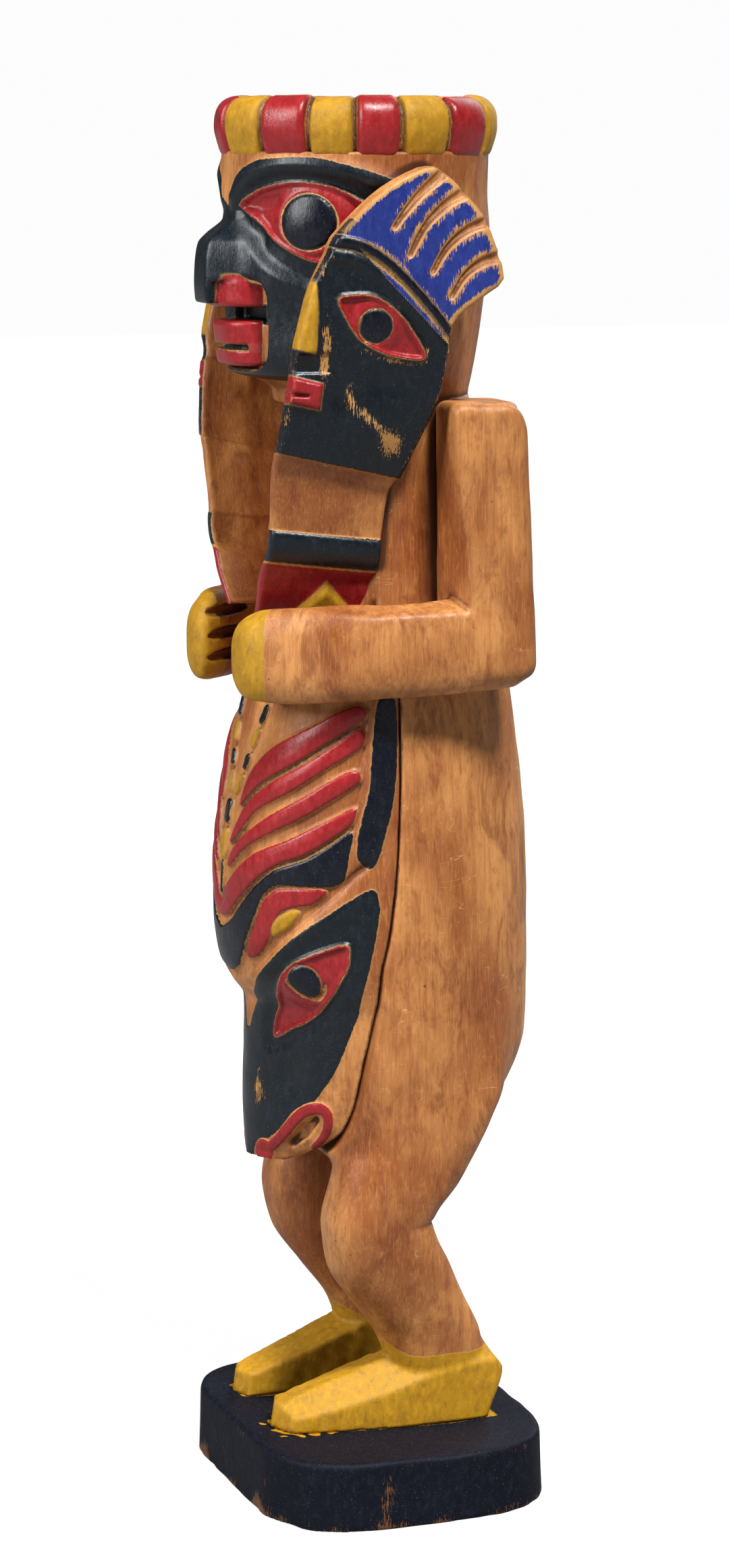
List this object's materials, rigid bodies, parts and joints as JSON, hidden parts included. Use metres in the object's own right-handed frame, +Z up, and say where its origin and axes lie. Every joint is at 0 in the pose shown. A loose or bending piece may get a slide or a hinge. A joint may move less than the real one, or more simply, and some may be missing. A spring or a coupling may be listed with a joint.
{
  "type": "carved painted standing crest figure",
  "caption": "Standing bent-kneed wooden figure on a plinth, carved and painted, holding two profile mask boards above a crest apron; for display.",
  "frame": {"origin": "centre of the plinth's underside", "axes": "+Z up along the figure, which faces -Y; its own left side is +X"},
  "size_m": [0.1092, 0.0956, 0.4],
  "materials": {
    "plinth_paint": "worn dark navy paint on wood",
    "carved_wood": "bare honey-brown wood, hand-rubbed, with yellow paint on the feet and hands",
    "face_paint": "worn black, red, yellow and blue paint on carved wood",
    "apron_paint": "red, navy, black and yellow paint on carved wood",
    "crown_paint": "alternating red and yellow paint on carved wood",
    "peg_wood": "plain turned wood"
  },
  "bodies": {
    "root": {"base": "plinth_paint", "body": "carved_wood", "arm_left": "carved_wood", "arm_right": "carved_wood", "head": "face_paint", "head_ring": "crown_paint", "mask_board_left": "face_paint", "mask_board_right": "face_paint", "front_panel": "apron_paint", "foot_dowel_left": "peg_wood", "foot_dowel_right": "peg_wood", "head_dowel": "peg_wood", "ring_dowel": "peg_wood", "shoulder_dowel_left": "peg_wood", "shoulder_dowel_right": "peg_wood", "mask_peg_left": "peg_wood", "mask_peg_right": "peg_wood", "panel_peg_upper": "peg_wood", "panel_peg_lower": "peg_wood"}
  },
  "joints": []
}
